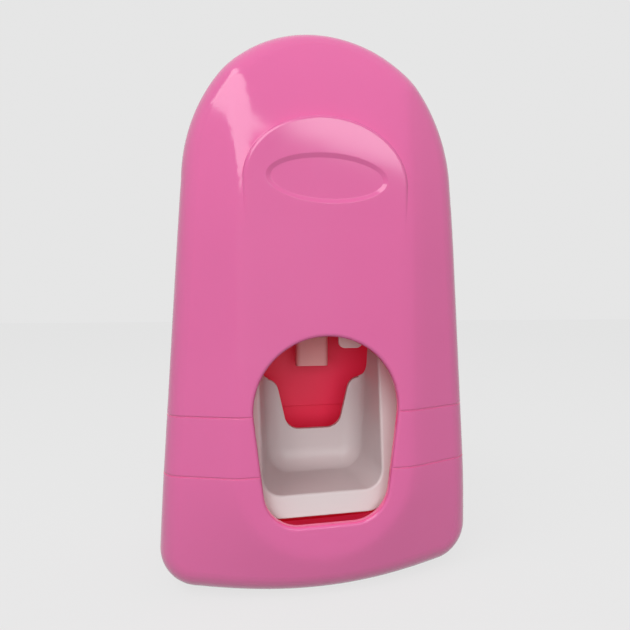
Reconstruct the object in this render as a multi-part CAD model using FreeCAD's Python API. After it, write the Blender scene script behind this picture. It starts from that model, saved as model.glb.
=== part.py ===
import FreeCAD, Part
import math
import os

# A wall-mounted toothpaste dispenser: a brush pushed into the cup swings it back and a bulb pumps paste.
# X runs across, the wall is the plane Y = 0 with the front towards -Y, and Z points up.
# The origin is the centre of the wall pad on the wall. Sizes are in millimetres, angles in degrees.
# "out" is measured from the wall, "up" from the dispenser's base, and "half" from the middle plane.

# Shared clearances
overrun = 5.0            # how far a cutting shape reaches past what it cuts
nearly = 0.001           # distance that counts as touching
body_gap = 0.4           # between pieces that move past each other
pin_gap = 0.04           # radial running clearance of a pin
screw_gap = 0.15         # radial clearance round a screw

# Wall pad
pad_width = 60.0
pad_length = 84.0
pad_thickness = 1.6
pad_corner = 6.0
pad_height = 75.0        # centre of the pad above the base

# Screws
screw_radius = 1.5
screw_head_radius = 2.9
screw_head = 1.7
screw_recess = 0.9       # depth of the cross recess
screw_recess_half = 1.5
screw_recess_width = 0.7
clamp_screw_bite = 2.4   # length of a clamp screw in the chamber

# Window of the cover
window_half = 20.2       # radius of the window's arch
window_bottom = 20.3
window_rise = 32.0       # centre of the arch above the window's bottom
window_lean = 7.3        # lean of the window's sides
window_corner = 10.0
window_edge = 0.9
window_centre = window_bottom + window_rise

# Push cup
cup_wall = 2.0
cup_depth = 30.0         # back wall above the cup's floor
side_rise = 17.0         # sides and lip above the back wall
side_setback = 6.0       # rear edge of the sides ahead of the back wall
side_corner = 6.0        # round step from the back wall up to the sides
cup_back = 26.0          # inner face of the back wall
cup_front_low_half = 17.8
cup_front_high_half = 20.8
cup_back_low_half = 15.0
cup_back_high_half = 17.4
cup_corner = 5.0         # lower corners at the lip
cup_back_corner = 8.0    # lower corners at the back wall
cup_bend = 6.5           # round inner edge of the back wall
lip_gap = 0.8            # lip above the window's bottom
lip_height = 5.9         # cup's floor above the lip's lower edge
lip_low_half = 18.4
lip_high_half = 27.8
lip_edge = 0.8           # round inner edge of the lip
gate_half = 1.2          # mark of the moulding gate under the lip
gate_height = 0.5
lip_corner = 7.0
lip_thickness = 2.4
lip_lean = 16.0          # lean of the lip's front face
notch_rise = 12.7        # notch in the back wall above the cup's floor
notch_low_half = 8.6
notch_high_half = 12.6
notch_corner = 5.0
notch_shoulder = 5.0     # round upper corners of the notch
lip_low = window_bottom + lip_gap
cup_floor = lip_low + lip_height
cup_top = cup_floor + cup_depth
side_top = cup_top + side_rise
notch_low = cup_floor + notch_rise

# Paste passage
paste_out = 19.0         # axis of the passage, out from the wall
passage_radius = 5.0
chamber_wall = 3.0
spigot_length = 5.0      # lower end of the chamber, inside the ring
spigot_step = 0.4        # spigot inside the chamber's outer wall
chamber_radius = passage_radius + chamber_wall
spigot_radius = chamber_radius - spigot_step

# Nozzle, its valve and its ring
nozzle_gap = 3.5         # nozzle above the cup
nozzle_show = 11.9       # nozzle below the ring
nozzle_half_width = 5.4
nozzle_half_depth = 4.5
nozzle_corner = 1.5
nozzle_bore = 2.6
nozzle_flange = 1.6
flange_play = 0.1        # nozzle's flange inside the spigot's outer wall
valve_thickness = 1.2
bill_length = 4.0        # lip of the outlet valve, down into the nozzle
bill_play = 0.4          # bill in the nozzle's bore
bill_slit = 0.5
ring_wall = 1.6
ring_lip = 1.8           # ring under the nozzle's flange
ring_gap = 0.6           # ring below the chamber's shoulder
ring_ribs = 18
ring_rib_radius = 0.6
nozzle_flange_radius = spigot_radius - flange_play
bill_radius = nozzle_bore - bill_play
nozzle_low = cup_top + nozzle_gap
ring_low = nozzle_low + nozzle_show
chamber_low = ring_low + ring_lip + nozzle_flange + valve_thickness
ring_high = chamber_low + spigot_length - ring_gap

# Pump bulb
boss_length = 9.0        # bulb's seat ahead of the passage's axis
boss_radius = 8.0        # boss of the chamber behind the bulb
bulb_radius = 7.6
bulb_rise = 7.0
bulb_wall = 1.4
bulb_flange_width = 3.4
bulb_flange = 1.6
bulb_flange_radius = bulb_radius + bulb_flange_width
bulb_seat = paste_out + boss_length
clamp_back = bulb_seat + bulb_flange
bulb_tip = clamp_back + bulb_rise

# Flange of the chamber and clamp over the bulb
flange_rim = 1.4         # flange above and below the bulb
flange_border = 2.8      # flange beyond its screws
flange_thickness = 3.0
clamp_screw_gap = 0.5    # screws outside the bulb's flange
clamp_thickness = 2.0
clamp_corner = 2.0
ear_inner = 7.9
ear_drop = 15.0          # ears below the flange
flange_half_height = bulb_radius + flange_rim
bulb_height = chamber_low + spigot_length + flange_half_height
clamp_screw_half = bulb_flange_radius + screw_radius + clamp_screw_gap
flange_half = clamp_screw_half + flange_border
ear_low = bulb_height - flange_half_height - ear_drop
clamp_front = clamp_back + clamp_thickness

# Arms of the cup, their press bar and what they turn on
press_arm = 16.0         # pivot above the bulb's axis
pivot_out = 34.0
arm_gap = 2.8            # between an arm and the flange
arm_thickness = 2.8
arm_half = 5.0           # half width of an arm at its pivot
arm_tail = 8.0           # arm above the pivot
arm_foot_rise = 16.0     # foot of an arm above the cup's floor
arm_foot_reach = 15.0    # foot of an arm ahead of the pivot
arm_neck_rise = 12.0     # narrowest place of an arm above the cup
arm_corner = 3.0
bar_half_height = 3.5
bar_thickness = 3.0
press_pad_radius = 4.0
press_pad_thickness = 1.6
pin_radius = 2.0
bush_wall = 1.5
bush_flange = 0.4
bush_flange_width = 1.3
cap_wall = 1.4
cap_rim = 2.2
cap_length = 2.6
bumper_thickness = 3.6
bumper_length = 7.0
lip_reach = 22.0         # foot of the cup's lip ahead of the pivot
pivot_height = bulb_height + press_arm
arm_inner = flange_half + arm_gap
arm_outer = arm_inner + arm_thickness
arm_foot = cup_floor + arm_foot_rise
arm_foot_front = pivot_out + arm_foot_reach
arm_neck = cup_top + arm_neck_rise
pad_tip = bulb_tip + body_gap
bar_back = pad_tip + press_pad_thickness
bar_front = bar_back + bar_thickness
bush_radius = pin_radius + pin_gap + bush_wall
bush_flange_radius = bush_radius + bush_flange_width
cap_radius = pin_radius + cap_rim
lip_front = pivot_out + lip_reach

# Pump frame
frame_wall = 2.4
cheek_gap = 0.2          # between a cheek and the flange of a bush
cheek_reach = 8.0        # cheek ahead of the pivot
cheek_drop = 10.0        # front of a cheek below the pivot
tail_gap = 1.6           # between the arms' tails and the shelf
frame_lift = 3.0         # frame's lower end above the chamber's
frame_screw_half = 15.0  # screws from the middle plane
frame_screw_inset = 6.0  # screws from the frame's upper and lower ends
frame_half = arm_outer + bush_flange + cheek_gap + frame_wall
frame_low = chamber_low + frame_lift
shelf_low = pivot_height + arm_tail + tail_gap
frame_top = shelf_low + frame_wall
frame_front = pivot_out + cheek_reach
cheek_front_low = pivot_height - cheek_drop

# Tube socket, its seal and the inlet valve
neck_bore = 6.7          # radius for the neck of the tube
bore_length = 9.8
socket_wall = 2.8
socket_flange = 3.0
socket_flange_width = 3.5
seal_thickness = 2.2
seal_seat = 0.8          # seat of the seal outside the bore
inlet_border = 2.2       # inlet valve beyond the passage
flap_slit = 0.6
socket_flange_radius = neck_bore + socket_wall + socket_flange_width
seal_radius = neck_bore + seal_seat
inlet_radius = passage_radius + inlet_border
socket_floor = frame_top + socket_flange
bore_low = socket_floor + seal_thickness
socket_top = bore_low + bore_length

# Front cover
tube_room = 29.2         # top of the cover above the tube socket
lip_cover = 6.0          # front of the cover ahead of the cup's lip
cover_wall = 2.4
base_half = 46.4
shoulder_half = 39.9
arch_rise = 46.8         # top of the cover above the end of its straight sides
flank_angle = 23.0       # how far the flanks fall away from the flat front
flank_offset = 1.6       # fold of the flanks outside the panel
flank_fold = 0.8         # softness of the fold
base_share = 0.7         # fall below the panel, as a share of the fall beside it
dome_length = 67.8       # from the top down to where the dome begins to fall back
dome_over = 9.5          # how far the dome's ellipse would rise past the top
dome_fall = 24.0         # depth of the dome's ellipse
edge_radius = 8.5        # round edge between front and sides
base_corner = 11.5       # round lower corners, seen from the front
base_bow = 2.0           # how far the base's ends rise above its middle
crown_columns = 61
crown_rows = 81
cover_height = socket_top + tube_room
cover_front = lip_front + lip_cover
cover_rear = pad_thickness
shoulder_height = cover_height - arch_rise
dome_start = cover_height - dome_length

# Panel of the cover, which the dome leaves standing as it falls back
panel_sink = 0.1         # panel's face behind the body's flat front
panel_side = 2.6         # panel beside the window
panel_border = 7.7       # panel below the window
panel_drop = 29.4        # panel below the top of the cover
panel_arch_rise = 18.4
panel_depth = 12.0       # how far the panel reaches into the body
panel_draft = 14.0
panel_edge = 1.0
panel_front = cover_front - panel_sink
panel_half = window_half + panel_side
panel_bottom = window_bottom - panel_border
fold_half = panel_half + flank_offset
fold_centre = panel_bottom + panel_half
panel_top = cover_height - panel_drop
panel_arch_base = panel_top - panel_arch_rise

# Oval recess of the panel
oval_half_width = 17.0
oval_half_height = 7.0
oval_drop = 17.4         # centre of the oval below the panel's top
oval_depth = 0.55
oval_draft = 1.3
oval_height = panel_top - oval_drop

# Grooves round the cover
lower_groove = 34.8
groove_spacing = 16.2
groove_width = 0.5
groove_depth = 0.3
upper_groove = lower_groove + groove_spacing

# Slot for the end of the tube, at the top of the cover against the wall
slot_half = 30.0
slot_depth = 15.0
slot_corner = 5.0
slot_low = 8.0

# Back plate
plate_thickness = 2.4
plate_rise = 12.0        # plate above the frame
rim_wall = 2.0
rim_depth = 8.0
seat_border = 1.6        # raised seat beside the frame
seat_raise = 2.0
seat_drop = 36.0         # raised seat below the frame
plate_top = frame_top + plate_rise
plate_front = pad_thickness + plate_thickness
seat_half = frame_half + seat_border
seat_low = frame_low - seat_drop
frame_back = plate_front + seat_raise


def at(across, out, up):
    return FreeCAD.Vector(across, -out, up - pad_height)


def block(across, out, up):
    # a box between three pairs of limits
    size = (across[1] - across[0], out[1] - out[0], up[1] - up[0])
    return Part.makeBox(*size, at(across[0], out[1], up[0]))


def upright(radius, low, high, across=0, out=paste_out):
    return Part.makeCylinder(radius, high - low, at(across, out, low), FreeCAD.Vector(0, 0, 1))


def outward(radius, near, far, across, up):
    return Part.makeCylinder(radius, far - near, at(across, near, up), FreeCAD.Vector(0, -1, 0))


def crosswise(radius, left, right):
    # a cylinder on the pivot's axis
    start = at(left, pivot_out, pivot_height)
    return Part.makeCylinder(radius, right - left, start, FreeCAD.Vector(1, 0, 0))


def mirrored(shape):
    return shape.mirror(FreeCAD.Vector(0, 0, 0), FreeCAD.Vector(1, 0, 0))


def both(shape):
    return Part.makeCompound([shape, mirrored(shape)])


def rounded(points, radii):
    # a closed wire of straight runs, with an arc in each corner that has a radius
    count = len(points)
    ends = []
    edges = []
    for index, corner in enumerate(points):
        to_before = (points[index - 1] - corner).normalize()
        to_after = (points[(index + 1) % count] - corner).normalize()
        half_turn = to_before.getAngle(to_after) / 2
        reach = radii[index] / math.tan(half_turn)
        start = corner + to_before * reach
        end = corner + to_after * reach
        if radii[index] > 0:
            inward = (to_before + to_after).normalize()
            middle = corner + inward * (radii[index] / math.sin(half_turn) - radii[index])
            edges.append(Part.Arc(start, middle, end).toShape())
        ends.append((start, end))
    for index in range(count):
        edges.append(Part.makeLine(ends[index][1], ends[(index + 1) % count][0]))
    return Part.Wire(Part.__sortEdges__(edges))


def prism(points, radii, sweep):
    return Part.Face(rounded(points, radii)).extrude(sweep)


def arch(half, rise, out, base):
    # half an ellipse over a level line, scaled from a unit half circle
    unit = Part.Arc(FreeCAD.Vector(1, 0, 0), FreeCAD.Vector(0, 0, 1), FreeCAD.Vector(-1, 0, 0)).toShape()
    scaling = FreeCAD.Matrix()
    scaling.scale(half, 1, rise)
    shape = unit.transformGeometry(scaling)
    shape.translate(at(0, out, base))
    return shape


def profile(inset, depth):
    # the cover's outline from the front, drawn in by the inset, as a prism from the cover's rear edge
    low = base_half - inset
    high = shoulder_half - inset
    top = arch(high, cover_height - shoulder_height - inset, cover_rear, shoulder_height)
    left = [at(-high, cover_rear, shoulder_height), at(-low, cover_rear, base_bow + inset)]
    right = [at(high, cover_rear, shoulder_height), at(low, cover_rear, base_bow + inset)]
    base = Part.Arc(left[1], at(0, cover_rear, inset), right[1]).toShape()
    wire = Part.Wire(Part.__sortEdges__([top, Part.makeLine(*left), base, Part.makeLine(*right)]))
    solid = Part.Face(wire).extrude(FreeCAD.Vector(0, -depth, 0))
    limit = at(0, 0, base_corner).z
    corners = [e for e in solid.Edges if e.BoundBox.ZMax < limit and e.BoundBox.XLength < nearly]
    return solid.makeFillet(base_corner - inset, corners)


def crown_fall(across, up):
    # how far the front lies behind its flat middle: flanks beside and below the panel, dome to the top
    below = min(up - fold_centre, 0)
    reach = max(math.hypot(across, below), nearly)
    down_share = below * below / (reach * reach)
    slope = math.tan(math.radians(flank_angle)) * (1 - (1 - base_share) * down_share)
    flank = slope * flank_fold * math.log(1 + math.exp((reach - fold_half) / flank_fold))
    climb_share = max(up - dome_start, 0) / (cover_height + dome_over - dome_start)
    return flank + dome_fall * (1 - math.sqrt(1 - climb_share * climb_share))


def crown(inset):
    # the cover's body as a solid, drawn in by the inset, without the panel
    reach = base_half + overrun
    grid = []
    for column in range(crown_columns):
        across = reach * (2 * column / (crown_columns - 1) - 1)
        line = []
        for row in range(crown_rows):
            up = (cover_height + 2 * overrun) * row / (crown_rows - 1) - overrun
            line.append(at(across, cover_front - inset - crown_fall(across, up), up))
        grid.append(line)
    front = Part.BSplineSurface()
    front.interpolate(grid)
    ahead = front.toShape().extrude(FreeCAD.Vector(0, -cover_front, 0))
    body = profile(inset, cover_front).cut(ahead)
    rear = -cover_rear - nearly
    return body.makeFillet(edge_radius - inset, [e for e in body.Edges if e.BoundBox.YMax < rear])


def panel_outline(out, grow):
    half = panel_half + grow
    low = panel_bottom + panel_half
    top = arch(half, panel_top - panel_arch_base + grow, out, panel_arch_base)
    bottom = Part.Arc(at(-half, out, low), at(0, out, low - half), at(half, out, low)).toShape()
    left = Part.makeLine(at(-half, out, low), at(-half, out, panel_arch_base))
    right = Part.makeLine(at(half, out, low), at(half, out, panel_arch_base))
    return Part.Wire(Part.__sortEdges__([top, left, bottom, right]))


def panel(inset):
    # the panel, with drafted sides and a rounded front edge
    front = panel_front - inset
    grow = panel_depth * math.tan(math.radians(panel_draft))
    rear_wire = panel_outline(front - panel_depth, grow - inset)
    solid = Part.makeLoft([rear_wire, panel_outline(front, -inset)], True, True)
    face = -front + nearly
    return solid.makeFillet(panel_edge, [e for e in solid.Edges if e.BoundBox.YMax < face])


def window_cut():
    # arch over two leaning sides and a level bottom with round corners
    out = cover_front / 2
    lean = math.radians(window_lean)
    touch_half = window_half * math.cos(lean)
    touch_up = window_centre - window_half * math.sin(lean)
    foot_half = touch_half - (touch_up - window_bottom) * math.tan(lean)
    turn = (math.pi / 2 + lean) / 2
    reach = window_corner / math.tan(turn)
    side_half = foot_half + reach * math.sin(lean)
    side_up = window_bottom + reach * math.cos(lean)
    bisect = window_corner / math.sin(turn) - window_corner
    mid_half = foot_half - bisect * math.cos(turn)
    mid_up = window_bottom + bisect * math.sin(turn)
    edges = [Part.Arc(at(touch_half, out, touch_up), at(0, out, window_centre + window_half),
                      at(-touch_half, out, touch_up)).toShape()]
    for side in (-1, 1):
        edges.append(Part.makeLine(at(side * touch_half, out, touch_up), at(side * side_half, out, side_up)))
        edges.append(Part.Arc(at(side * side_half, out, side_up), at(side * mid_half, out, mid_up),
                              at(side * (foot_half - reach), out, window_bottom)).toShape())
    low_half = foot_half - reach
    edges.append(Part.makeLine(at(-low_half, out, window_bottom), at(low_half, out, window_bottom)))
    wire = Part.Wire(Part.__sortEdges__(edges))
    return Part.Face(wire).extrude(FreeCAD.Vector(0, -cover_front, 0))


def window_rim(shell):
    # the edges of the window on the flat front
    low = at(0, 0, window_bottom - window_edge).z
    high = at(0, 0, window_centre + window_half + window_edge).z
    on_face = [e for e in shell.Edges if e.BoundBox.YMax < -cover_front + cover_wall / 2]
    return [e for e in on_face if e.BoundBox.ZMin > low and e.BoundBox.ZMax < high]


def oval_cut():
    # a shallow dish, drafted from twice its depth down to its floor
    wires = []
    for side in (-1, 1):
        half_width = oval_half_width + side * oval_draft
        half_height = oval_half_height + side * oval_draft
        out = panel_front + side * oval_depth
        over = arch(half_width, half_height, out, oval_height)
        under = arch(half_width, -half_height, out, oval_height)
        wires.append(Part.Wire([over, under]))
    return Part.makeLoft(wires, True, True)


def groove_cut(outer, inner, up):
    across = base_half + overrun
    heights = (up - groove_width / 2, up + groove_width / 2)
    slab = block((-across, across), (0, cover_front + overrun), heights)
    return outer.common(slab).cut(inner)


def slot_cut():
    # its ends point to the middle of the dome, so that the cut edges of the wall are square to it
    rise = cover_height - shoulder_height
    spread = slot_half / (rise * math.sqrt(1 - (slot_half / shoulder_half) ** 2))
    low, high = slot_low, rise + overrun
    points = [at(-spread * low, 0, shoulder_height + low), at(spread * low, 0, shoulder_height + low),
              at(spread * high, 0, shoulder_height + high), at(-spread * high, 0, shoulder_height + high)]
    reach = cover_rear + slot_depth
    cutter = prism(points, [0, 0, 0, 0], FreeCAD.Vector(0, -reach, 0))
    front = at(0, reach, 0).y
    ends = [e for e in cutter.Edges if e.BoundBox.YMax < front + nearly and e.BoundBox.ZLength > nearly]
    return cutter.makeFillet(slot_corner, ends)


def front_cover():
    outer = crown(0).fuse(panel(0))
    inner = crown(groove_depth).fuse(panel(groove_depth))
    shell = outer.cut(crown(cover_wall)).cut(window_cut()).cut(oval_cut())
    shell = shell.makeFillet(window_edge, window_rim(shell))
    for up in (upper_groove, lower_groove):
        shell = shell.cut(groove_cut(outer, inner, up))
    return shell.cut(slot_cut())


def screw(across, near, seat, up):
    # a screw from its tip to its seat, with a cross-recessed round head on the seat
    shank = outward(screw_radius, near, seat, across, up)
    head = outward(screw_head_radius, seat, seat + screw_head, across, up)
    rim = [e for e in head.Edges if e.BoundBox.YMax < -seat - nearly]
    head = head.makeFillet(screw_head / 2, rim)
    top = seat + screw_head
    recess = (top - screw_recess, top + overrun)
    half = screw_recess_width / 2
    long_side = (-screw_recess_half, screw_recess_half)
    for wide, tall in ((long_side, (-half, half)), ((-half, half), long_side)):
        sides = (across + wide[0], across + wide[1])
        head = head.cut(block(sides, recess, (up + tall[0], up + tall[1])))
    return shank.fuse(head)


def frame_screw_places():
    heights = (frame_low + frame_screw_inset, frame_top - frame_screw_inset - frame_wall)
    return [(side * frame_screw_half, up) for side in (-1, 1) for up in heights]


def back_plate():
    # a shallow tray inside the cover's rear edge, with a raised seat for the pump frame
    inset = cover_wall + body_gap
    tray = profile(inset, rim_depth)
    hollow = profile(inset + rim_wall, rim_depth)
    hollow.translate(FreeCAD.Vector(0, -plate_thickness, 0))
    tray = tray.cut(hollow)
    tray = tray.cut(block((-base_half, base_half), (0, cover_front), (plate_top, cover_height)))
    tray = tray.fuse(block((-seat_half, seat_half), (pad_thickness, frame_back), (seat_low, frame_top)))
    for across, up in frame_screw_places():
        tray = tray.cut(outward(screw_radius + screw_gap, 0, cover_front, across, up))
    return tray.removeSplitter()


def wall_pad():
    half = pad_width / 2
    low = pad_height - pad_length / 2
    high = pad_height + pad_length / 2
    corners = [at(-half, 0, low), at(half, 0, low), at(half, 0, high), at(-half, 0, high)]
    return prism(corners, [pad_corner] * 4, FreeCAD.Vector(0, -pad_thickness, 0))


def pump_frame():
    # back wall, two cheeks for the pivots and a shelf for the tube socket
    back = block((-frame_half, frame_half), (frame_back, frame_back + frame_wall), (frame_low, frame_top))
    shelf = block((-frame_half, frame_half), (frame_back, frame_front), (shelf_low, frame_top))
    outline = [(frame_back, frame_low), (frame_back + frame_wall, frame_low), (frame_front, cheek_front_low),
               (frame_front, frame_top), (frame_back, frame_top)]
    points = [at(frame_half - frame_wall, out, up) for out, up in outline]
    cheek = prism(points, [0] * len(points), FreeCAD.Vector(frame_wall, 0, 0))
    cheek = cheek.cut(crosswise(pin_radius + pin_gap / 2, 0, frame_half + overrun))
    frame = back.fuse([shelf, cheek, mirrored(cheek)])
    frame = frame.cut(upright(chamber_radius + screw_gap, frame_low, frame_top + overrun))
    for across, up in frame_screw_places():
        frame = frame.cut(outward(screw_radius + screw_gap, 0, cover_front, across, up))
    return frame.removeSplitter()


def frame_screws():
    seat = frame_back + frame_wall
    return Part.makeCompound([screw(across, pad_thickness, seat, up) for across, up in frame_screw_places()])


def pump_chamber():
    # upright tube with a boss and a flange that carry the bulb, and a spigot for the nozzle
    tube = upright(chamber_radius, chamber_low + spigot_length, frame_top)
    tube = tube.fuse(upright(spigot_radius, chamber_low, chamber_low + spigot_length))
    boss = outward(boss_radius, paste_out, bulb_seat, 0, bulb_height)
    flange = block((-flange_half, flange_half), (bulb_seat - flange_thickness, bulb_seat),
                   (bulb_height - flange_half_height, bulb_height + flange_half_height))
    body = tube.fuse([boss, flange])
    body = body.cut(upright(passage_radius, chamber_low, frame_top))
    body = body.cut(outward(passage_radius, paste_out, bulb_seat, 0, bulb_height))
    for side in (-1, 1):
        near = bulb_seat - flange_thickness
        body = body.cut(outward(screw_radius, near, bulb_seat, side * clamp_screw_half, bulb_height))
    return body


def dome(radius, rise, near):
    # a spherical cap that stands out from a plane
    sphere_radius = (radius * radius + rise * rise) / (2 * rise)
    ball = Part.makeSphere(sphere_radius)
    ball.translate(at(0, near + rise - sphere_radius, bulb_height))
    return ball.common(outward(radius + overrun, near, near + rise + overrun, 0, bulb_height))


def pump_bulb():
    flange = outward(bulb_flange_radius, bulb_seat, clamp_back, 0, bulb_height)
    flange = flange.common(block((-flange_half, flange_half), (0, cover_front),
                                 (bulb_height - flange_half_height, bulb_height + flange_half_height)))
    skin = flange.fuse(dome(bulb_radius, bulb_rise, clamp_back))
    hollow = dome(bulb_radius - bulb_wall, bulb_rise - bulb_wall, clamp_back)
    port = outward(bulb_radius - bulb_wall, bulb_seat, clamp_back, 0, bulb_height)
    return skin.cut(hollow.fuse(port))


def bulb_clamp():
    # plate over the bulb's flange, with two ears that hang beside the nozzle
    top = bulb_height + flange_half_height
    shoulder = bulb_height - flange_half_height
    outline = [(-flange_half, ear_low), (-ear_inner, ear_low), (-ear_inner, shoulder), (ear_inner, shoulder),
               (ear_inner, ear_low), (flange_half, ear_low), (flange_half, top), (-flange_half, top)]
    points = [at(across, clamp_back, up) for across, up in outline]
    radii = [clamp_corner, clamp_corner, 0, 0, clamp_corner, clamp_corner, clamp_corner, clamp_corner]
    plate = prism(points, radii, FreeCAD.Vector(0, -clamp_thickness, 0))
    plate = plate.cut(outward(bulb_radius + body_gap, 0, cover_front, 0, bulb_height))
    for side in (-1, 1):
        hole = outward(screw_radius + screw_gap, 0, cover_front, side * clamp_screw_half, bulb_height)
        plate = plate.cut(hole)
    return plate


def clamp_screws():
    return both(screw(clamp_screw_half, bulb_seat - clamp_screw_bite, clamp_front, bulb_height))


def nozzle():
    top = chamber_low - valve_thickness
    half_x = nozzle_half_width
    half_y = nozzle_half_depth
    corners = [(-half_x, -half_y), (half_x, -half_y), (half_x, half_y), (-half_x, half_y)]
    points = [at(across, paste_out + out, nozzle_low) for across, out in corners]
    stem = prism(points, [nozzle_corner] * 4, FreeCAD.Vector(0, 0, top - nozzle_low))
    flange = upright(nozzle_flange_radius, top - nozzle_flange, top)
    return stem.fuse(flange).cut(upright(nozzle_bore, nozzle_low, top))


def outlet_valve():
    # disc under the chamber with a slit bill that stands in the nozzle
    top = chamber_low
    low = top - valve_thickness
    disc = upright(nozzle_flange_radius, low, top)
    bill = upright(bill_radius, low - bill_length, low)
    slit = block((-bill_radius, bill_radius), (paste_out - bill_slit / 2, paste_out + bill_slit / 2),
                 (low - bill_length, low))
    hollow = upright(bill_radius - bill_slit, low - bill_length / 2, top)
    return disc.fuse(bill).cut(hollow).cut(slit)


def nozzle_ring():
    # threaded ring with finger ribs, under the nozzle's flange and round the spigot
    radius = nozzle_flange_radius + screw_gap + ring_wall
    lip_high = chamber_low - valve_thickness - nozzle_flange
    ring = upright(radius, ring_low, ring_high)
    for index in range(ring_ribs):
        turn = 2 * math.pi * index / ring_ribs
        across = (radius - ring_rib_radius / 2) * math.cos(turn)
        out = paste_out + (radius - ring_rib_radius / 2) * math.sin(turn)
        ring = ring.fuse(upright(ring_rib_radius, ring_low, ring_high, across, out))
    ring = ring.cut(upright(spigot_radius + screw_gap, lip_high, ring_high))
    opening = math.hypot(nozzle_half_width, nozzle_half_depth)
    return ring.cut(upright(opening, ring_low, lip_high)).removeSplitter()


def tube_socket():
    # collar that stands on the shelf and takes the neck of the tube
    collar = upright(neck_bore + socket_wall, frame_top, socket_top)
    collar = collar.fuse(upright(socket_flange_radius, frame_top, socket_floor))
    collar = collar.cut(upright(neck_bore, bore_low, socket_top))
    collar = collar.cut(upright(seal_radius, socket_floor, bore_low))
    collar = collar.cut(upright(inlet_radius, frame_top, frame_top + valve_thickness))
    return collar.cut(upright(passage_radius, frame_top, socket_floor))


def socket_seal():
    ring = upright(seal_radius, socket_floor, bore_low)
    return ring.cut(upright(passage_radius, socket_floor, bore_low))


def inlet_valve():
    # disc with a flap that is cut free on three sides
    disc = upright(inlet_radius, frame_top, frame_top + valve_thickness)
    reach = passage_radius / 2
    flap = block((-reach, reach), (paste_out - reach, paste_out + reach), (frame_top, socket_floor))
    inner = reach - flap_slit
    tongue = block((-inner, inner), (paste_out - reach, paste_out + inner), (frame_top, socket_floor))
    return disc.cut(flap.cut(tongue))


def cup_section(out, low_half, high_half, low, radius):
    # one upright section of the scoop: open upwards, with round lower corners
    high = side_top + overrun
    corners = [(-high_half, high), (-low_half, low), (low_half, low), (high_half, high)]
    points = [at(across, out, up) for across, up in corners]
    return rounded(points, [0, radius, radius, 0])


def scoop(grow):
    front = cup_section(lip_front + overrun, cup_front_low_half + grow, cup_front_high_half + grow,
                        cup_floor - grow, cup_corner + grow)
    back = cup_section(cup_back - grow, cup_back_low_half + grow, cup_back_high_half + grow,
                       cup_floor - grow, cup_back_corner + grow)
    solid = Part.makeLoft([back, front], True, True)
    rear = -cup_back + grow - nearly
    top = at(0, 0, side_top + overrun).z - nearly
    bends = [e for e in solid.Edges if e.BoundBox.YMin > rear and e.BoundBox.ZMin < top]
    return solid.makeFillet(cup_bend + grow, bends)


def lip_line(behind, up):
    # a point beside the cup on the leaning front face of the lip, or behind that face
    out = lip_front - (up - lip_low) * math.tan(math.radians(lip_lean)) - behind
    return at(-base_half, out, up)


def cup_lip():
    # leaning band round the mouth of the scoop
    high = side_top
    points = [lip_line(0, lip_low), lip_line(0, high), lip_line(lip_thickness, high),
              lip_line(lip_thickness, lip_low)]
    slab = prism(points, [0] * 4, FreeCAD.Vector(2 * base_half, 0, 0))
    corners = [(-lip_high_half, high), (-lip_low_half, lip_low), (lip_low_half, lip_low),
               (lip_high_half, high)]
    outline = [at(across, 0, up) for across, up in corners]
    band = prism(outline, [0, lip_corner, lip_corner, 0], FreeCAD.Vector(0, -cover_front, 0))
    return slab.common(band)


def cup_arm():
    # side plate of the cup: foot on the scoop, ear for the press bar, eye for the bush
    back = pivot_out - arm_half
    front = pivot_out + arm_half
    bar_low = bulb_height - bar_half_height - arm_corner
    bar_high = bulb_height + bar_half_height + arm_corner
    outline = [(arm_foot_front, arm_foot), (arm_foot_front - arm_half, cup_top), (front, arm_neck),
               (bar_front, bar_low), (bar_front, bar_high), (front, pivot_height),
               (front, pivot_height + arm_tail), (back, pivot_height + arm_tail), (back, arm_foot)]
    points = [at(arm_inner, out, up) for out, up in outline]
    plate = prism(points, [arm_corner] * len(points), FreeCAD.Vector(arm_thickness, 0, 0))
    return plate.cut(crosswise(bush_radius, 0, base_half))


def cup_relief():
    # opens the rear of the cup above its back wall, so that the sides clear the pump
    rear = cup_back + side_setback
    high = side_top + 2 * overrun
    corners = [(0, cup_top), (rear, cup_top), (rear, high), (0, high)]
    points = [at(-base_half, out, up) for out, up in corners]
    return prism(points, [0, side_corner, 0, 0], FreeCAD.Vector(2 * base_half, 0, 0))


def cup_notch():
    # notch in the back wall that clears the nozzle, with round shoulders
    high = side_top + overrun
    right = [(notch_low_half, notch_low), (notch_high_half, cup_top), (base_half, cup_top),
             (base_half, high)]
    left = [(-across, up) for across, up in reversed(right)]
    points = [at(across, cup_back + cup_wall, up) for across, up in left + right]
    radii = [0, 0, notch_shoulder, notch_corner, notch_corner, notch_shoulder, 0, 0]
    return prism(points, radii, FreeCAD.Vector(0, cup_back + cup_wall, 0))


def lip_rim(cup):
    # the inner edges of the lip on its leaning front face
    edges = []
    floor = at(0, 0, cup_floor).z - nearly
    for edge in cup.Edges:
        ends = [vertex.Point for vertex in edge.Vertexes]
        on_face = [p for p in ends if abs(p.y - lip_line(0, p.z + pad_height).y) < nearly]
        middle = edge.CenterOfMass
        if len(on_face) == 2 and abs(middle.x) < lip_low_half and middle.z > floor:
            edges.append(edge)
    return edges


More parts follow.
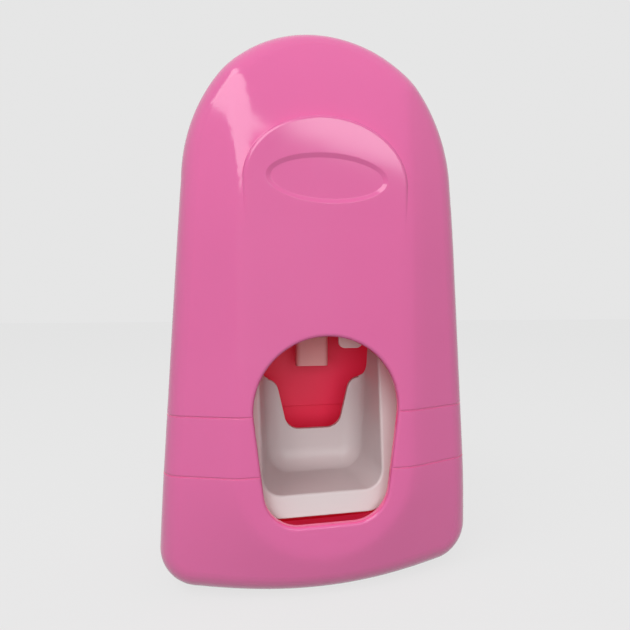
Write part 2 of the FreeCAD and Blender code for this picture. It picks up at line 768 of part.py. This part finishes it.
def push_cup():
    bowl = scoop(cup_wall)
    high = side_top + 2 * overrun
    ahead = [lip_line(0, lip_low - overrun), lip_line(0, high), lip_line(-cover_front, high),
             lip_line(-cover_front, lip_low - overrun)]
    bowl = bowl.cut(prism(ahead, [0] * 4, FreeCAD.Vector(2 * base_half, 0, 0)))
    bowl = bowl.cut(block((-base_half, base_half), (0, cover_front), (side_top, high)))
    bowl = bowl.cut(cup_relief()).cut(cup_notch()).fuse(cup_lip()).cut(scoop(0))
    arm = cup_arm()
    bar = block((-arm_inner, arm_inner), (bar_back, bar_front),
                (bulb_height - bar_half_height, bulb_height + bar_half_height))
    gate = block((-gate_half, gate_half), (lip_front - lip_thickness, lip_front - lip_thickness / 2),
                 (lip_low - gate_height, lip_low + gate_height))
    cup = bowl.fuse([arm, mirrored(arm), bar, gate]).cut(scoop(0)).removeSplitter()
    return cup.makeFillet(lip_edge, lip_rim(cup))


def press_pad():
    return outward(press_pad_radius, pad_tip, bar_back, 0, bulb_height)


def arm_bushes():
    sleeve = crosswise(bush_radius, arm_inner, arm_outer)
    sleeve = sleeve.fuse(crosswise(bush_flange_radius, arm_outer, arm_outer + bush_flange))
    return both(sleeve.cut(crosswise(pin_radius + pin_gap, 0, base_half)))


def pivot_pins():
    return both(crosswise(pin_radius, arm_inner, frame_half + cap_length - cap_wall))


def pin_caps():
    cap = crosswise(cap_radius, frame_half, frame_half + cap_length)
    cap = cap.makeFillet(cap_wall / 2, [e for e in cap.Edges if e.BoundBox.XMin > frame_half + nearly])
    return both(cap.cut(crosswise(pin_radius, 0, frame_half + cap_length - cap_wall)))


def stop_bumpers():
    # rubber stops under the shelf, behind the tails of the arms
    front = pivot_out - arm_half - body_gap
    depth = (front - bumper_thickness, front)
    return both(block((arm_inner, arm_outer), depth, (shelf_low - bumper_length, shelf_low)))


def export_all():
    os.makedirs("parts", exist_ok=True)
    pieces = [front_cover, back_plate, wall_pad, pump_frame, frame_screws, pivot_pins, pin_caps,
              stop_bumpers, pump_chamber, pump_bulb, bulb_clamp, clamp_screws, nozzle, nozzle_ring,
              outlet_valve, inlet_valve, tube_socket, socket_seal, push_cup, press_pad, arm_bushes]
    for piece in pieces:
        shape = piece()
        shape.exportStep("parts/" + piece.__name__ + ".step")
        print(piece.__name__, len(shape.Solids), shape.isValid(), round(shape.Volume, 1))


export_all()
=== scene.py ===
import math

import bmesh
import bpy
from mathutils import Matrix, Vector


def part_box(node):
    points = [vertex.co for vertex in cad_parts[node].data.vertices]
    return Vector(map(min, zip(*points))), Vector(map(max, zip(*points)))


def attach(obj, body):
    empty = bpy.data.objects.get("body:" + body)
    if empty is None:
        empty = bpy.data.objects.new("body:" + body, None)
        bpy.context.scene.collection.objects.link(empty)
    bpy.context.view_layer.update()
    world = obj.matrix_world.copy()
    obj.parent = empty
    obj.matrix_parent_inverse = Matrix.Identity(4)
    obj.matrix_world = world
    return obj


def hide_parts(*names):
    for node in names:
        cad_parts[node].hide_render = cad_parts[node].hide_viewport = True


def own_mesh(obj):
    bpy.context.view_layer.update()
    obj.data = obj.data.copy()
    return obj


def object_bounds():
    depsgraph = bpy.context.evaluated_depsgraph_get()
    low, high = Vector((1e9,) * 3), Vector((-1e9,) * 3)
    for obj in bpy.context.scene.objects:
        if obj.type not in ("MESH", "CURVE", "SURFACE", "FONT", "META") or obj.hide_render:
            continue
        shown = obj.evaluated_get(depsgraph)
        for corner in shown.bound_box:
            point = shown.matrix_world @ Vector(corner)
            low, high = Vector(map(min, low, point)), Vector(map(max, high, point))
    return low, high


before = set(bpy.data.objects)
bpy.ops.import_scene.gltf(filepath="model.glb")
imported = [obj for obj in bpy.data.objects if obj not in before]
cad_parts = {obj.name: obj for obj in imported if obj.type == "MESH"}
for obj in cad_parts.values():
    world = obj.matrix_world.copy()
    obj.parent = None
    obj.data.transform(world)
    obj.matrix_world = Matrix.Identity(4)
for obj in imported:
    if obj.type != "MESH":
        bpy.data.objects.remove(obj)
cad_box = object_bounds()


# Camera
# It stands a hand's length in front of the dispenser, a little to its left and level with
# its middle, and is turned towards the dispenser's right side.
camera_place = (-0.022, -0.216, 0.0057)
camera_turn = math.radians(14.0)

camera_data = bpy.data.cameras.new("camera")
camera_data.lens = 32.0
camera_data.sensor_width = 36.0
camera_data.shift_x = -0.1127
camera_data.shift_y = -0.0127
camera_data.clip_start = 0.01
camera = bpy.data.objects.new("camera", camera_data)
camera.location = camera_place
camera.rotation_euler = (math.radians(90.0), 0.0, -camera_turn)
bpy.context.scene.collection.objects.link(camera)
bpy.context.scene.camera = camera
bpy.context.scene.view_settings.view_transform = "Standard"


# Floor
# A plain pale sheet just under the dispenser. The camera, reflections and clear walls see the
# backdrop's grey on it, and it takes a faint shadow.
backdrop_grey = (0.79, 0.79, 0.79, 1.0)
floor_grey = (0.10, 0.10, 0.10, 1.0)
floor_half = 3.0
floor_drop = 0.0006
floor_glow = 0.92
smooth_angle = math.radians(35.0)


def new_material(name):
    made = bpy.data.materials.new(name)
    made.use_nodes = True
    return made, made.node_tree.nodes, made.node_tree.links


def link_piece(name, mesh_maker, material):
    mesh = bpy.data.meshes.new(name)
    mesh_maker.to_mesh(mesh)
    mesh_maker.free()
    mesh.materials.append(material)
    mesh.shade_smooth()
    mesh.set_sharp_from_angle(angle=smooth_angle)
    piece = bpy.data.objects.new(name, mesh)
    bpy.context.scene.collection.objects.link(piece)
    return piece


def seen_rays(nodes, links):
    # 1 for the rays that show a surface: straight, in a reflection or through a clear wall
    rays = nodes.new("ShaderNodeLightPath")
    seen = rays.outputs["Is Camera Ray"]
    for kind in ("Is Glossy Ray", "Is Transmission Ray"):
        either = nodes.new("ShaderNodeMath")
        either.operation = "MAXIMUM"
        links.new(seen, either.inputs[0])
        links.new(rays.outputs[kind], either.inputs[1])
        seen = either.outputs[0]
    return seen


floor_material, nodes, links = new_material("floor_grey")
shader = nodes["Principled BSDF"]
shader.inputs["Base Color"].default_value = floor_grey
shader.inputs["Roughness"].default_value = 0.9
shader.inputs["Specular IOR Level"].default_value = 0.0
shader.inputs["Emission Color"].default_value = backdrop_grey
glow = nodes.new("ShaderNodeMath")
glow.operation = "MULTIPLY"
glow.inputs[1].default_value = floor_glow
links.new(seen_rays(nodes, links), glow.inputs[0])
links.new(glow.outputs[0], shader.inputs["Emission Strength"])

maker = bmesh.new()
bmesh.ops.create_grid(maker, x_segments=1, y_segments=1, size=floor_half)
bmesh.ops.translate(maker, verts=maker.verts, vec=(0.0, 0.0, cad_box[0][2] - floor_drop))
floor = link_piece("floor", maker, floor_material)


# Lamps
# One softbox up on the left, which shows in the dome, one small one in front above the camera,
# which shows in the panel, a broad matt light beside the camera, and an even studio room.
lamp_target = Vector((0.0, -0.045, 0.010))
lamp_distance = 0.9
room_grey = (0.80, 0.80, 0.80, 1.0)
room_strength = 0.54


def softbox(name, azimuth, elevation, across, tall, roll, radiance):
    # an area lamp aimed at the dispenser, its place and its size given as angles in degrees
    lamp = bpy.data.lights.new(name, "AREA")
    lamp.shape = "RECTANGLE"
    lamp.size = 2.0 * lamp_distance * math.tan(math.radians(across) / 2.0)
    lamp.size_y = 2.0 * lamp_distance * math.tan(math.radians(tall) / 2.0)
    lamp.energy = radiance * math.pi * lamp.size * lamp.size_y
    turn = Matrix.Rotation(math.radians(azimuth), 4, "Z")
    rise = Matrix.Rotation(math.radians(90.0 - elevation), 4, "X")
    spin = Matrix.Rotation(math.radians(roll), 4, "Z")
    away = Matrix.Translation((0.0, 0.0, lamp_distance))
    lamp_object = bpy.data.objects.new(name, lamp)
    lamp_object.matrix_world = Matrix.Translation(lamp_target) @ turn @ rise @ away @ spin
    bpy.context.scene.collection.objects.link(lamp_object)
    return lamp_object


softbox("left_softbox", azimuth=-34.0, elevation=45.0, across=50.0, tall=27.0, roll=148.0,
        radiance=3.3)
softbox("front_softbox", azimuth=14.5, elevation=21.5, across=20.0, tall=10.0, roll=-18.0,
        radiance=4.1)
broad_light = softbox("broad_light", azimuth=-8.0, elevation=2.0, across=34.0, tall=30.0,
                      roll=0.0, radiance=5.9)
broad_light.visible_glossy = False

world = bpy.data.worlds.new("studio")
bpy.context.scene.world = world
world.use_nodes = True
nodes = world.node_tree.nodes
links = world.node_tree.links
room = nodes["Background"]
room.inputs["Color"].default_value = room_grey
room.inputs["Strength"].default_value = room_strength
backdrop = nodes.new("ShaderNodeBackground")
backdrop.inputs["Color"].default_value = backdrop_grey
pick = nodes.new("ShaderNodeMixShader")
links.new(seen_rays(nodes, links), pick.inputs["Fac"])
links.new(room.outputs[0], pick.inputs[1])
links.new(backdrop.outputs[0], pick.inputs[2])
links.new(pick.outputs[0], nodes["World Output"].inputs["Surface"])


# Wall pad
# Closed-cell foam with adhesive on both faces, die-cut with round corners and stuck to the
# middle of the back plate. It holds the dispenser on a tile, and its edge is pressed round.
across_axis, depth_axis = 0, 1
parallel_share = 0.9
rim_angle = math.radians(60.0)
rim_segments = 3
pad_corner = 0.006
pad_edge = 0.0005
foam_white = (0.70, 0.69, 0.66, 1.0)
foam_grey = (0.52, 0.51, 0.48, 1.0)
foam_cell_scale = 2200.0
foam_pit_depth = 0.0001


def two_tone(nodes, links, mask, first, second, target="Base Color"):
    # a colour of the shader that runs from the first tone to the second with the mask
    tone = nodes.new("ShaderNodeMix")
    tone.data_type = "RGBA"
    tone.inputs["A"].default_value = first
    tone.inputs["B"].default_value = second
    links.new(mask, tone.inputs["Factor"])
    links.new(tone.outputs["Result"], nodes["Principled BSDF"].inputs[target])


def rounded_slab(low, high, corner, edge, axis, segments=8):
    # a box with its four long corners and then all its rims rounded
    made = bmesh.new()
    bmesh.ops.create_cube(made, size=1.0)
    middle = (low + high) / 2.0
    bmesh.ops.scale(made, verts=made.verts, vec=high - low)
    bmesh.ops.translate(made, verts=made.verts, vec=middle)
    along = [e for e in made.edges
             if abs((e.verts[0].co - e.verts[1].co).normalized()[axis]) > parallel_share]
    bmesh.ops.bevel(made, geom=along, offset=corner, offset_type="OFFSET", affect="EDGES",
                    segments=segments, profile=0.5, material=-1)
    rims = [e for e in made.edges
            if len(e.link_faces) == 2 and e.calc_face_angle() > rim_angle]
    bmesh.ops.bevel(made, geom=rims, offset=edge, offset_type="OFFSET", affect="EDGES",
                    segments=rim_segments, profile=0.5, material=-1)
    return made


foam, nodes, links = new_material("foam_tape")
shader = nodes["Principled BSDF"]
shader.inputs["Roughness"].default_value = 0.85
place = nodes.new("ShaderNodeTexCoord")
cells = nodes.new("ShaderNodeTexVoronoi")
cells.inputs["Scale"].default_value = foam_cell_scale
links.new(place.outputs["Object"], cells.inputs["Vector"])
two_tone(nodes, links, cells.outputs["Distance"], foam_white, foam_grey)
pits = nodes.new("ShaderNodeBump")
pits.inputs["Strength"].default_value = 0.6
pits.inputs["Distance"].default_value = foam_pit_depth
links.new(cells.outputs["Distance"], pits.inputs["Height"])
links.new(pits.outputs["Normal"], shader.inputs["Normal"])

pad = link_piece("foam_pad",
                 rounded_slab(*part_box("wall_pad"), pad_corner, pad_edge, depth_axis), foam)
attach(pad, "base")
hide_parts("wall_pad")


# Back plate
# A tray of the cover's plastic, left plain inside, with a raised seat for the pump. Its colour is
# the cover's pink deepened to crimson: painted red light, standing in for the light that the thin
# pink shell lets through and bounces onto it. The cover's rim snaps over its rim, and the pad
# holds its back to the wall.
plate_pink_painted_crimson = (0.86, 0.045, 0.120, 1.0)
drift_scale = 26.0
smudge_scale = 70.0
grain_scale = 2500.0


def put(links, value, socket):
    # a number is set on the socket, and the output of another node is linked to it
    if isinstance(value, float):
        socket.default_value = value
    else:
        links.new(value, socket)


def clouds(nodes, links, scale, detail):
    # soft noise in the piece's own coordinates, from 0 to 1
    place = nodes.new("ShaderNodeTexCoord")
    noise = nodes.new("ShaderNodeTexNoise")
    noise.inputs["Detail"].default_value = detail
    put(links, scale, noise.inputs["Scale"])
    links.new(place.outputs["Object"], noise.inputs["Vector"])
    return noise.outputs["Fac"]


def moulded_skin():
    # tone drift, uneven gloss and fine ripple of a moulded plastic surface
    group = bpy.data.node_groups.new("moulded_skin", "ShaderNodeTree")
    nodes = group.nodes
    links = group.links
    for way, names in (("INPUT", ("Colour", "Drift", "Roughness", "Smudge", "Ripple Scale",
                                  "Grain")),
                       ("OUTPUT", ("Colour", "Roughness", "Height"))):
        for name in names:
            kind = "NodeSocketColor" if name == "Colour" else "NodeSocketFloat"
            group.interface.new_socket(name, in_out=way, socket_type=kind)
    source = nodes.new("NodeGroupInput")
    result = nodes.new("NodeGroupOutput")

    def combine(operation, *values):
        node = nodes.new("ShaderNodeMath")
        node.operation = operation
        for socket, value in zip(node.inputs, values):
            put(links, value, socket)
        return node.outputs[0]

    def swing(scale, detail):
        # noise from -1 to 1
        return combine("MULTIPLY_ADD", clouds(nodes, links, scale, detail), 2.0, -1.0)

    tint = nodes.new("ShaderNodeHueSaturation")
    links.new(source.outputs["Colour"], tint.inputs["Color"])
    links.new(combine("MULTIPLY_ADD", swing(drift_scale, 2.0), source.outputs["Drift"], 1.0),
              tint.inputs["Value"])
    links.new(tint.outputs["Color"], result.inputs["Colour"])
    links.new(combine("MULTIPLY_ADD", swing(smudge_scale, 5.0), source.outputs["Smudge"],
                      source.outputs["Roughness"]), result.inputs["Roughness"])
    ripple = clouds(nodes, links, source.outputs["Ripple Scale"], 1.0)
    grain = combine("MULTIPLY", clouds(nodes, links, grain_scale, 2.0), source.outputs["Grain"])
    links.new(combine("ADD", ripple, grain), result.inputs["Height"])
    return group


skin_group = moulded_skin()


def moulded_plastic(name, colour, roughness, smudge, drift, ripple, ripple_height, grain,
                    edge_radius=0.0003):
    # a moulded plastic: the shared skin, a ripple in its gloss and slightly round edges
    made, nodes, links = new_material(name)
    shader = nodes["Principled BSDF"]
    skin = nodes.new("ShaderNodeGroup")
    skin.node_tree = skin_group
    for socket, value in (("Colour", colour), ("Drift", drift), ("Roughness", roughness),
                          ("Smudge", smudge), ("Ripple Scale", ripple), ("Grain", grain)):
        skin.inputs[socket].default_value = value
    links.new(skin.outputs["Colour"], shader.inputs["Base Color"])
    links.new(skin.outputs["Roughness"], shader.inputs["Roughness"])
    edges = nodes.new("ShaderNodeBevel")
    edges.samples = 6
    edges.inputs["Radius"].default_value = edge_radius
    bump = nodes.new("ShaderNodeBump")
    bump.inputs["Strength"].default_value = 1.0
    bump.inputs["Distance"].default_value = ripple_height
    links.new(skin.outputs["Height"], bump.inputs["Height"])
    links.new(edges.outputs["Normal"], bump.inputs["Normal"])
    links.new(bump.outputs["Normal"], shader.inputs["Normal"])
    return made


def coat_node(node, material):
    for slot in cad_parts[node].material_slots:
        slot.material = material


coat_node("back_plate", moulded_plastic("plate_plastic", plate_pink_painted_crimson, roughness=0.38, smudge=0.06,
                                        drift=0.05, ripple=160.0, ripple_height=0.00002,
                                        grain=0.3))


# Pump frame
# The white chassis, moulded in one piece: a back wall, two cheeks for the pivots and a shelf
# for the tube. Four screws hold it to the seat of the back plate.
frame_white = (0.78, 0.77, 0.74, 1.0)

frame_plastic = moulded_plastic("frame_plastic", frame_white, roughness=0.42, smudge=0.05,
                                drift=0.03, ripple=220.0, ripple_height=0.00002, grain=0.5)
coat_node("pump_frame", frame_plastic)


# Frame screws
# Round-headed steel screws with a cross recess, zinc plated. They are driven from the front
# through the frame into the back plate.
zinc = (0.60, 0.61, 0.62, 1.0)
tarnish = 0.82
steel_cloud_scale = 900.0


def uneven_gloss(nodes, links, mask, low, high):
    # a roughness that runs from low to high with the mask
    dull = nodes.new("ShaderNodeMapRange")
    dull.inputs["To Min"].default_value = low
    dull.inputs["To Max"].default_value = high
    links.new(mask, dull.inputs["Value"])
    links.new(dull.outputs["Result"], nodes["Principled BSDF"].inputs["Roughness"])


def plated_steel(name, colour, roughness):
    made, nodes, links = new_material(name)
    nodes["Principled BSDF"].inputs["Metallic"].default_value = 1.0
    mask = clouds(nodes, links, steel_cloud_scale, 4.0)
    dark = tuple(tarnish * value for value in colour[:3]) + (1.0,)
    two_tone(nodes, links, mask, dark, colour)
    uneven_gloss(nodes, links, mask, roughness - 0.08, roughness + 0.12)
    return made


screw_steel = plated_steel("screw_steel", zinc, 0.32)
coat_node("frame_screws", screw_steel)


# Pump chamber
# The white upright paste tube, with a boss and a flange that carry the bulb. It hangs from
# the frame's shelf, and the nozzle's ring screws onto its lower end.
coat_node("pump_chamber", frame_plastic)


# Pump bulb
# A soft silicone dome with a flange. The clamp holds the flange against the chamber, and the
# cup's pad presses the dome flat, which pumps the paste and springs the cup back.
turn_steps = 64
same_place = 1e-7
bulb_radius = 0.0076
bulb_rise = 0.0070
bulb_wall = 0.0014
bulb_flange_radius = 0.0088
bulb_outer_steps = 14
bulb_inner_steps = 12
silicone_milk = (0.72, 0.70, 0.66, 1.0)
silicone_haze = (0.62, 0.60, 0.56, 1.0)
silicone_cloud_scale = 420.0

silicone, nodes, links = new_material("silicone")
shader = nodes["Principled BSDF"]
shader.inputs["Subsurface Weight"].default_value = 0.35
shader.inputs["Subsurface Radius"].default_value = (0.004, 0.0034, 0.003)
shader.inputs["Subsurface Scale"].default_value = 0.5
shader.inputs["Roughness"].default_value = 0.42
two_tone(nodes, links, clouds(nodes, links, silicone_cloud_scale, 3.0), silicone_haze,
         silicone_milk)


def turned(points, centre, axis):
    # a body of revolution on an axis square to X: the points are distances from it and along it
    made = bmesh.new()
    side = Vector((1.0, 0.0, 0.0))
    verts = [made.verts.new(centre + side * away + axis * along) for away, along in points]
    edges = [made.edges.new(pair) for pair in zip(verts, verts[1:])]
    bmesh.ops.spin(made, geom=verts + edges, cent=centre, axis=axis, angle=2.0 * math.pi,
                   steps=turn_steps, use_merge=True)
    bmesh.ops.remove_doubles(made, verts=made.verts, dist=same_place)
    bmesh.ops.recalc_face_normals(made, faces=made.faces)
    return made


def dome_points(radius, rise, count):
    # a cap of less than half a sphere, from its rim to its tip
    sphere = (radius * radius + rise * rise) / (2.0 * rise)
    widest = math.asin(radius / sphere)
    points = []
    for index in range(count + 1):
        angle = widest * (1.0 - index / count)
        points.append((sphere * math.sin(angle), rise - sphere + sphere * math.cos(angle)))
    return points


bulb_low, bulb_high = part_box("pump_bulb")
bulb_middle = (bulb_low + bulb_high) / 2.0
bulb_base = bulb_low.y + bulb_rise
bulb_centre = Vector((bulb_middle.x, bulb_base, bulb_middle.z))
outer = dome_points(bulb_radius, bulb_rise, bulb_outer_steps)
inner = dome_points(bulb_radius - bulb_wall, bulb_rise - bulb_wall, bulb_inner_steps)
flange_depth = bulb_high.y - bulb_base
profile = inner[::-1] + [(bulb_radius - bulb_wall, -flange_depth),
                         (bulb_flange_radius, -flange_depth), (bulb_flange_radius, 0.0)] + outer
bulb = link_piece("bulb_dome", turned(profile, bulb_centre, Vector((0.0, -1.0, 0.0))), silicone)
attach(bulb, "base")
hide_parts("pump_bulb")
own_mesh(bulb)


# Bulb clamp and its screws
# A white plate over the bulb's flange, whose two ears hang beside the nozzle. Two screws like
# the frame's hold it to the chamber.
coat_node("bulb_clamp", frame_plastic)
coat_node("clamp_screws", screw_steel)


# Nozzle, its valve and its ring
# The outlet is a white rectangular spout with round corners; its colour is darkened and tinted
# pink, painted shade and painted red bounce light. A slit silicone valve sits on its flange, and a
# ribbed ring clamps both to the lower end of the chamber.
nozzle_painted_shade_pink = (0.72, 0.40, 0.39, 1.0)

coat_node("nozzle", moulded_plastic("nozzle_plastic", nozzle_painted_shade_pink, roughness=0.45, smudge=0.06,
                                    drift=0.04, ripple=260.0, ripple_height=0.00002, grain=0.5))
coat_node("nozzle_ring", frame_plastic)
coat_node("outlet_valve", silicone)


# Tube socket, its seal and the inlet valve
# A white collar on the frame's shelf takes the neck of the tube, which a black rubber ring
# grips. A silicone flap below it keeps the paste from going back.
rim_steps = 4
seal_hole = 0.0050
seal_edge = 0.0005
rubber_black = (0.030, 0.030, 0.032, 1.0)
rubber_bloom = (0.060, 0.060, 0.062, 1.0)
rubber_cloud_scale = 500.0

rubber, nodes, links = new_material("rubber")
nodes["Principled BSDF"].inputs["Specular IOR Level"].default_value = 0.35
bloom = clouds(nodes, links, rubber_cloud_scale, 4.0)
two_tone(nodes, links, bloom, rubber_black, rubber_bloom)
uneven_gloss(nodes, links, bloom, 0.55, 0.80)


def ring_points(hole, radius, height, edge):
    # half section of a moulded ring or disc with round outer rims
    points = [(hole, 0.0)]
    for level, first in ((edge, -90.0), (height - edge, 0.0)):
        for step in range(rim_steps + 1):
            angle = math.radians(first + 90.0 * step / rim_steps)
            points.append((radius - edge + edge * math.cos(angle), level + edge * math.sin(angle)))
    points.append((hole, height))
    if hole > 0.0:
        points.append((hole, 0.0))
    return points


seal_low, seal_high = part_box("socket_seal")
seal_foot = Vector(((seal_low.x + seal_high.x) / 2.0, (seal_low.y + seal_high.y) / 2.0,
                    seal_low.z))
seal_section = ring_points(seal_hole, (seal_high.x - seal_low.x) / 2.0,
                           seal_high.z - seal_low.z, seal_edge)
seal = link_piece("neck_seal", turned(seal_section, seal_foot, Vector((0.0, 0.0, 1.0))), rubber)
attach(seal, "base")
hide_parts("socket_seal")
coat_node("tube_socket", frame_plastic)
coat_node("inlet_valve", silicone)


# Push cup
# The white scoop that takes the brush, moulded in one piece with its back wall, its two arms
# and the press bar. It hangs from the pivots and swings back when the brush is pushed in.
# the cup's white is darkened and tinted faintly pink: painted shade and painted red bounce light
cup_white_painted_shade = (0.585, 0.535, 0.535, 1.0)

coat_node("push_cup", moulded_plastic("cup_plastic", cup_white_painted_shade, roughness=0.34, smudge=0.05,
                                      drift=0.03, ripple=180.0, ripple_height=0.00002,
                                      grain=0.3, edge_radius=0.0004))


# Press pad, bushes, pins, caps and stops
# The rubber pad on the press bar meets the bulb. Acetal bushes in the arms run on steel pins
# in the frame's cheeks, which steel caps hold, and rubber stops take the arms at rest.
acetal_white = (0.74, 0.71, 0.65, 1.0)
bright_steel = (0.66, 0.66, 0.67, 1.0)
press_edge = 0.0006
stop_width = 0.0028
stop_corner = 0.0007
stop_edge = 0.0003

coat_node("arm_bushes", moulded_plastic("acetal", acetal_white, roughness=0.40, smudge=0.05,
                                        drift=0.03, ripple=300.0, ripple_height=0.00001,
                                        grain=0.3))
coat_node("pivot_pins", plated_steel("pin_steel", bright_steel, 0.22))
coat_node("pin_caps", screw_steel)

press_low, press_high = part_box("press_pad")
press_back = Vector(((press_low.x + press_high.x) / 2.0, press_low.y,
                     (press_low.z + press_high.z) / 2.0))
press_section = ring_points(0.0, (press_high.x - press_low.x) / 2.0, press_high.y - press_low.y,
                            press_edge)
press = link_piece("press_button", turned(press_section, press_back, Vector((0.0, 1.0, 0.0))),
                   rubber)
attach(press, "cup")
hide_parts("press_pad")

stop_low, stop_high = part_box("stop_bumpers")
both_stops = bmesh.new()
for left in (stop_low.x, stop_high.x - stop_width):
    stop = rounded_slab(Vector((left, stop_low.y, stop_low.z)),
                        Vector((left + stop_width, stop_high.y, stop_high.z)),
                        stop_corner, stop_edge, across_axis, segments=4)
    stop_mesh = bpy.data.meshes.new("stop")
    stop.to_mesh(stop_mesh)
    stop.free()
    both_stops.from_mesh(stop_mesh)
    bpy.data.meshes.remove(stop_mesh)
stops = link_piece("arm_stops", both_stops, rubber)
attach(stops, "base")
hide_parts("stop_bumpers")


# Front cover
# One glossy pink moulding with a panel, a bare oval recess, the window and two thin grooves.
# It snaps over the back plate and pulls off forwards when the tube is changed.
cover_pink = (0.70, 0.120, 0.334, 1.0)
unlit = (0.0, 0.0, 0.0, 1.0)
painted_glow_red = (0.80, 0.030, 0.090, 1.0)
painted_glow_strength = 0.25
shell_middle = (0.0, -0.025, 0.0)
inside_from, inside_full = 0.15, 0.45

pink_plastic = moulded_plastic("cover_plastic", cover_pink, roughness=0.10, smudge=0.03,
                               drift=0.025, ripple=150.0, ripple_height=0.000012, grain=0.05)
nodes = pink_plastic.node_tree.nodes
links = pink_plastic.node_tree.links
shader = nodes["Principled BSDF"]
shader.inputs["Specular IOR Level"].default_value = 0.62
shader.inputs["Subsurface Weight"].default_value = 0.06
shader.inputs["Subsurface Radius"].default_value = (0.0030, 0.0010, 0.0016)
shader.inputs["Subsurface Scale"].default_value = 0.5

# painted glow: the inner faces give off a faint red light, which stands in for the red light that
# the thin wall would let through
place = nodes.new("ShaderNodeTexCoord")
inward = nodes.new("ShaderNodeVectorMath")
inward.operation = "SUBTRACT"
inward.inputs[0].default_value = shell_middle
links.new(place.outputs["Object"], inward.inputs[1])
toward = nodes.new("ShaderNodeVectorMath")
toward.operation = "NORMALIZE"
links.new(inward.outputs["Vector"], toward.inputs[0])
facing = nodes.new("ShaderNodeVectorMath")
facing.operation = "DOT_PRODUCT"
links.new(toward.outputs["Vector"], facing.inputs[0])
links.new(place.outputs["Normal"], facing.inputs[1])
inside = nodes.new("ShaderNodeMapRange")
inside.inputs["From Min"].default_value = inside_from
inside.inputs["From Max"].default_value = inside_full
links.new(facing.outputs["Value"], inside.inputs["Value"])
two_tone(nodes, links, inside.outputs["Result"], unlit, painted_glow_red, target="Emission Color")
shader.inputs["Emission Strength"].default_value = painted_glow_strength
coat_node("front_cover", pink_plastic)
